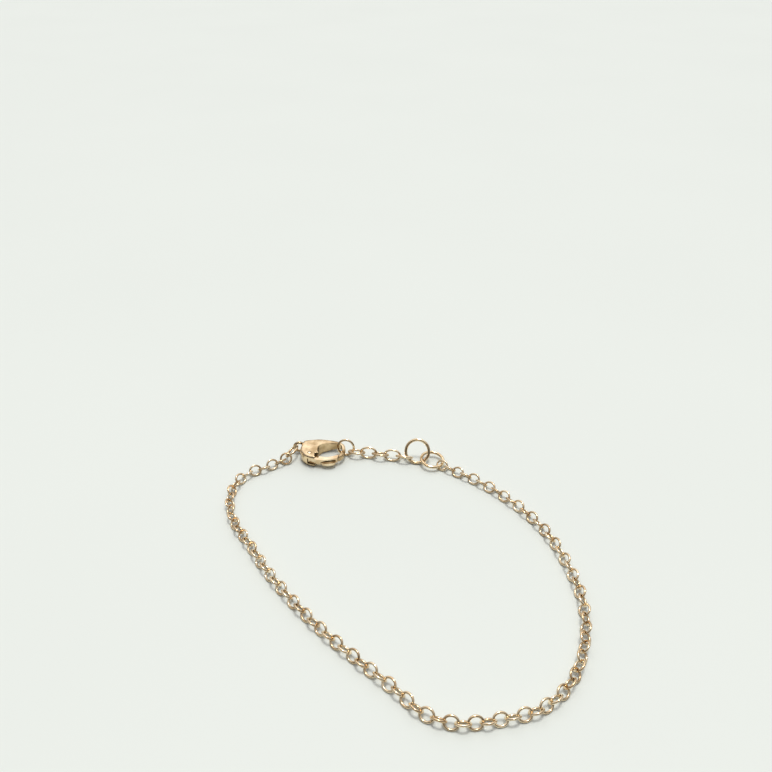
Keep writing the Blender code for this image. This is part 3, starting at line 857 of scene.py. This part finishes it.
pattern = wire_loop("extension_link_pattern", EXTENSION_LINK_LENGTH, EXTENSION_LINK_WIDTH,
                    EXTENSION_WIRE, *EXTENSION_LINK_STEPS)
half_length = (EXTENSION_LINK_LENGTH - EXTENSION_WIRE) / 2
half_width = (EXTENSION_LINK_WIDTH - EXTENSION_WIRE) / 2
start = end_centre + to_ring_wire(ring_along, end_lean, end_radius,
                                  EXTENSION_HEIGHT - end_centre.z)
start -= ring_along * ((END_RING_WIRE + EXTENSION_WIRE) / 2 + RING_PLAY)
for number, (direction, roll) in enumerate(EXTENSION_LINKS, 1):
    along = heading(direction)
    middle = start + along * half_length
    rest = half_width * math.sin(math.radians(abs(roll))) + EXTENSION_WIRE / 2
    middle.z = max(rest, EXTENSION_HEIGHT)
    only(pattern)
    bpy.ops.object.duplicate()
    link = bpy.context.object
    link.name = f"extension_link_{number}_fine"
    set_tone(link, (number * TONE_STEP) % 1.0)
    put(link, placed(middle, along, rolled(along, roll)))
    done(link, EXTENSION_GOLD, [f"extension_link_{number}"])
    link_end = middle + along * half_length
    start = link_end - along * (EXTENSION_WIRE + EXTENSION_PLAY)
bpy.data.objects.remove(pattern)

# %% [markdown]
# ## Ring that leans back
# Two larger rings, of thicker wire, join the extension to the fine chain. The first stands on
# its rim and leans back. It could be turned by trial until it looked right. Its place is worked
# out from the last link instead, so that the link's wire lies inside it.

# %% Ring that leans back
LARGE_RING_WIRE = 0.60 * MM
LARGE_RING_STEPS = (80, 24)
UPRIGHT_RING_SIZE = 5.20 * MM
UPRIGHT_RING_LEAN = 38.0
UPRIGHT_RING_HEADING = -6.0

along = heading(UPRIGHT_RING_HEADING)
lean = math.radians(UPRIGHT_RING_LEAN)
radius = (UPRIGHT_RING_SIZE - LARGE_RING_WIRE) / 2
height = radius * math.cos(lean) + LARGE_RING_WIRE / 2
wire_place = link_end - along * ((LARGE_RING_WIRE + EXTENSION_WIRE) / 2 + RING_PLAY)
centre = wire_place + to_ring_wire(along, lean, radius, height - link_end.z)
upright_ring = wire_ring("upright_ring_fine", UPRIGHT_RING_SIZE, LARGE_RING_WIRE,
                         LARGE_RING_STEPS, LARGE_RING_SEAM)
put(upright_ring, placed(centre, along, rolled(along, 90.0 - UPRIGHT_RING_LEAN)))
done(upright_ring, LARGE_RING_GOLD, ["upright_ring"])

# %% [markdown]
# ## Ring that lies flat
# The second large ring hooks through the first and slopes down to the surface. It could be laid
# quite flat, but then its wire would pass through the other ring's. It starts from a point
# inside that ring, just above its lowest wire, and slopes down from there.

# %% Ring that lies flat
FLAT_RING_SIZE = 5.00 * MM
FLAT_RING_HEADING = -14.0
FLAT_RING_SLOPE = -6.0
FLAT_RING_SHIFT = 1.5
FLAT_RING_EXIT = -42.0
HOOK_WIRES = 1.5

hook_height = HOOK_WIRES * LARGE_RING_WIRE + CHAIN_PLAY
flat_start = centre + along * LARGE_RING_WIRE * FLAT_RING_SHIFT
flat_start += up_ring(along, lean) * (hook_height - height) / math.cos(lean)
flat_radius = (FLAT_RING_SIZE - LARGE_RING_WIRE) / 2
slope = math.radians(FLAT_RING_SLOPE)
down = heading(FLAT_RING_HEADING) * math.cos(slope) + UP * math.sin(slope)
flat_centre = flat_start + down * flat_radius
flat_ring = wire_ring("flat_ring_fine", FLAT_RING_SIZE, LARGE_RING_WIRE, LARGE_RING_STEPS,
                      LARGE_RING_SEAM)
put(flat_ring, placed(flat_centre, down, UP))
done(flat_ring, LARGE_RING_GOLD, ["flat_ring"])
inner_radius = flat_radius - LARGE_RING_WIRE / 2 - CHAIN_PLAY
chain_end = (flat_centre + heading(FLAT_RING_EXIT) * inner_radius).xy

# %% [markdown]
# ## Route of the fine chain
# Laid down by hand, a chain finds a lazy, uneven loop. The loop could be a plain circle, but it
# would look drawn with a compass. The route is a smooth curve through points at shares of the
# loop's width and depth, cut into equal steps, one for each link.

# %% Route of the fine chain
ROUTE = [Vector((x * LOOP_WIDTH, y * LOOP_DEPTH)) for x, y in (
    (-0.395, 0.390), (-0.454, 0.356), (-0.486, 0.292), (-0.486, 0.226), (-0.461, 0.148),
    (-0.402, 0.056), (-0.336, -0.048), (-0.262, -0.143), (-0.181, -0.234), (-0.090, -0.320),
    (0.000, -0.400), (0.064, -0.462), (0.136, -0.487), (0.246, -0.475), (0.331, -0.451),
    (0.410, -0.384), (0.462, -0.285), (0.486, -0.180), (0.485, -0.089), (0.458, 0.044),
    (0.421, 0.136), (0.358, 0.228), (0.282, 0.308),
)]
ROUTE_STEPS = 24
CHAIN_WIRE = 0.40 * MM
CHAIN_LINK_LENGTH = 2.54 * MM
CHAIN_LINK_WIDTH = 2.26 * MM
CHAIN_BITE = 0.04 * MM


def points_along(curve, distances):
    """The points at given distances along a curve."""
    found = []
    walked = 0.0
    index = 0
    step = curve[1] - curve[0]
    for distance in distances:
        while index < len(curve) - 2 and walked + step.length < distance:
            walked += step.length
            index += 1
            step = curve[index + 1] - curve[index]
        found.append(curve[index] + step * ((distance - walked) / step.length))
    return found


span = CHAIN_LINK_LENGTH - 2 * CHAIN_WIRE
parting = CHAIN_BITE + CLEARANCE
curve = smooth_points([chain_start, *ROUTE, chain_end], ROUTE_STEPS)
length = sum((b - a).length for a, b in zip(curve, curve[1:]))
count = round((length + parting) / (span + CHAIN_BITE))
step = (length + parting) / count
left_count = count // 2
right_count = count - left_count
left = points_along(curve, [step * i for i in range(left_count + 1)])
right = points_along(
    curve, [step * (left_count + i) - parting for i in range(right_count + 1)])
print("fine chain:", count, "links,", round(length / MM), "mm")

# %% [markdown]
# ## Fine chain
# Each link leans on the surface at about 45 degrees, rolled the other way from its neighbours.
# The links could be copied by an array modifier, which would make them all alike. They are
# copied one by one, with a small change of roll and tone from link to link, and then joined,
# because each half of the chain is one piece.

# %% Fine chain
CHAIN_ROLL = 45.0
CHAIN_ROLL_CHANGE = 7.0
CHAIN_LINK_STEPS = (36, 10)
ROLL_STEP = 2.4
ROLL_DRIFT = 0.37
CHAIN_TONE_STEP = 3.7
TONE_BEND = 0.8


def link_place(start, end, number):
    """The place of one link of the fine chain."""
    change = math.sin(ROLL_STEP * number) * math.cos(ROLL_DRIFT * number)
    roll = CHAIN_ROLL + CHAIN_ROLL_CHANGE * change
    half_width = (CHAIN_LINK_WIDTH - CHAIN_WIRE) / 2
    height = half_width * math.sin(math.radians(roll)) + CHAIN_WIRE / 2
    along = (end - start).to_3d()
    centre = ((start + end) / 2).to_3d() + UP * height
    return placed(centre, along, rolled(along.normalized(), -roll if number % 2 else roll))


def fine_chain(name, points, first_number, node_name):
    """Half of the fine chain, link by link."""
    first = wire_loop(name, CHAIN_LINK_LENGTH, CHAIN_LINK_WIDTH, CHAIN_WIRE, *CHAIN_LINK_STEPS)
    links = []
    for number, (start, end) in enumerate(zip(points, points[1:]), first_number):
        only(first)
        bpy.ops.object.duplicate()
        link = bpy.context.object
        link.matrix_world = link_place(start, end, number)
        set_tone(link, (0.5 + 0.5 * math.sin(CHAIN_TONE_STEP * number)) ** TONE_BEND)
        links.append(link)
    bpy.data.objects.remove(first)
    only(*links)
    bpy.ops.object.join()
    chain = bpy.context.object
    chain.name = name
    put(chain, chain.matrix_world.copy())
    done(chain, CHAIN_GOLD, [node_name])


fine_chain("chain_left_fine", left, 0, "chain_left")
fine_chain("chain_right_fine", right, left_count, "chain_right")

# %% [markdown]
# ## Surface
# The bracelet lies on a smooth, pale, slightly green surface. A single colour would do for it,
# but a large even area looks empty. Slow noise between two near tones keeps it alive, and low
# gloss keeps reflections off it.

# %% Surface
FLOOR_SIZE = 4.0
FLOOR_DROP = 0.01 * MM
FLOOR_COLOUR = (0.75, 0.795, 0.75)
FLOOR_SHADE = 0.97
FLOOR_CLOUDS = {"scale": 14.0, "detail": 2.0}
FLOOR_ROUGHNESS = 0.6
FLOOR_GLOSS = 0.1


def plain(name, colour, roughness, gloss):
    """A plain material for the surface."""
    material = bpy.data.materials.new(name)
    material.use_nodes = True
    tree = material.node_tree
    shader = tree.nodes["Principled BSDF"]
    place = node(tree, "ShaderNodeTexCoord", {}).outputs["Object"]
    clouds = noise(tree, place, **FLOOR_CLOUDS)
    darker = tuple(FLOOR_SHADE * c for c in colour)
    tone = mixed(tree, clouds, darker + (1.0,), colour + (1.0,))
    tree.links.new(tone, shader.inputs["Base Color"])
    shader.inputs["Roughness"].default_value = roughness
    shader.inputs["Specular IOR Level"].default_value = gloss
    return material


bpy.ops.object.select_all(action="DESELECT")
bpy.ops.mesh.primitive_plane_add(size=FLOOR_SIZE, location=(0.0, 0.0, -FLOOR_DROP))
floor = bpy.context.object
floor.name = "surface"
floor.data.materials.append(plain("pale_surface", FLOOR_COLOUR, FLOOR_ROUGHNESS, FLOOR_GLOSS))
print("the surface is", FLOOR_SIZE, "m wide")

# %% [markdown]
# ## Light
# The bracelet's shadows are short and soft, so its light comes from almost straight above. An
# area lamp could give that, but its light would fall off across the surface. A sun lamp with a
# wide angle is even everywhere, and its angle alone sets how soft the shadows are.

# %% Light
SUN_STRENGTH = 1.30
SUN_ANGLE = 13.0
SUN_COLOUR = (1.0, 0.975, 0.94)
SUN_DIRECTION = Vector((-0.07, -0.16, -1.0))

lamp_data = bpy.data.lights.new("daylight", "SUN")
lamp_data.energy = SUN_STRENGTH
lamp_data.angle = math.radians(SUN_ANGLE)
lamp_data.color = SUN_COLOUR
lamp = bpy.data.objects.new("daylight", lamp_data)
bpy.context.collection.objects.link(lamp)
lamp.rotation_euler = SUN_DIRECTION.to_track_quat("-Z", "Y").to_euler()
print("the light is", SUN_ANGLE, "degrees wide")

# %% [markdown]
# ## Surround
# Gold is only as lively as what it mirrors. An even white world would make it look like paint.
# This one is brightest overhead and a little behind the bracelet, and falls to dark towards the
# front and below, which gives each wire a bright back and a dark edge.

# %% Surround
BRIGHT_SIDE = (0.0, 0.45, 0.89)
SKY_TONES = ((0.0, 0.03), (0.42, 0.39), (0.78, 0.80), (1.0, 1.7))
SKY_GREEN = 0.98

world = bpy.data.worlds.new("overcast")
bpy.context.scene.world = world
world.use_nodes = True
sky = world.node_tree
direction = node(sky, "ShaderNodeTexCoord", {}).outputs["Generated"]
upwards = node(sky, "ShaderNodeVectorMath", {0: direction, 1: BRIGHT_SIDE},
               operation="DOT_PRODUCT")
ramp = node(sky, "ShaderNodeValToRGB", {0: upwards.outputs["Value"]})
stops = ramp.color_ramp.elements
stops.remove(stops[1])
for position, brightness in SKY_TONES:
    stop = stops[0] if position == 0.0 else stops.new(position)
    stop.color = (brightness, SKY_GREEN * brightness, brightness, 1.0)
sky.links.new(ramp.outputs[0], sky.nodes["Background"].inputs["Color"])
sky.nodes["Background"].inputs["Strength"].default_value = 1.0
print("tones from the dark side to overhead:", [brightness for _, brightness in SKY_TONES])

# %% [markdown]
# ## Camera
# The bracelet is seen from the front and from above, at about 35 degrees. The view could be set
# by eye. It was fitted instead: the focal length, in pixels of the image, and the camera's place
# come from the outline of the loop.

# %% Camera
SENSOR_WIDTH = 36.0
IMAGE_PIXELS = 772.0
FOCAL_PIXELS = 740.0
CAMERA_PITCH = 35.0
CAMERA_PLACE = Vector((-1.25, -86.7, 97.7)) * MM

camera_data = bpy.data.cameras.new("camera")
camera_data.sensor_width = SENSOR_WIDTH
camera_data.lens = SENSOR_WIDTH * FOCAL_PIXELS / IMAGE_PIXELS
camera_data.clip_start = 5.0 * MM
camera_data.clip_end = 10.0
camera = bpy.data.objects.new("camera", camera_data)
bpy.context.collection.objects.link(camera)
camera.location = CAMERA_PLACE
camera.rotation_euler = (math.radians(90.0 - CAMERA_PITCH), 0.0, 0.0)
bpy.context.scene.camera = camera
bpy.context.scene.view_settings.view_transform = "Standard"
print("the camera looks down by", CAMERA_PITCH, "degrees")
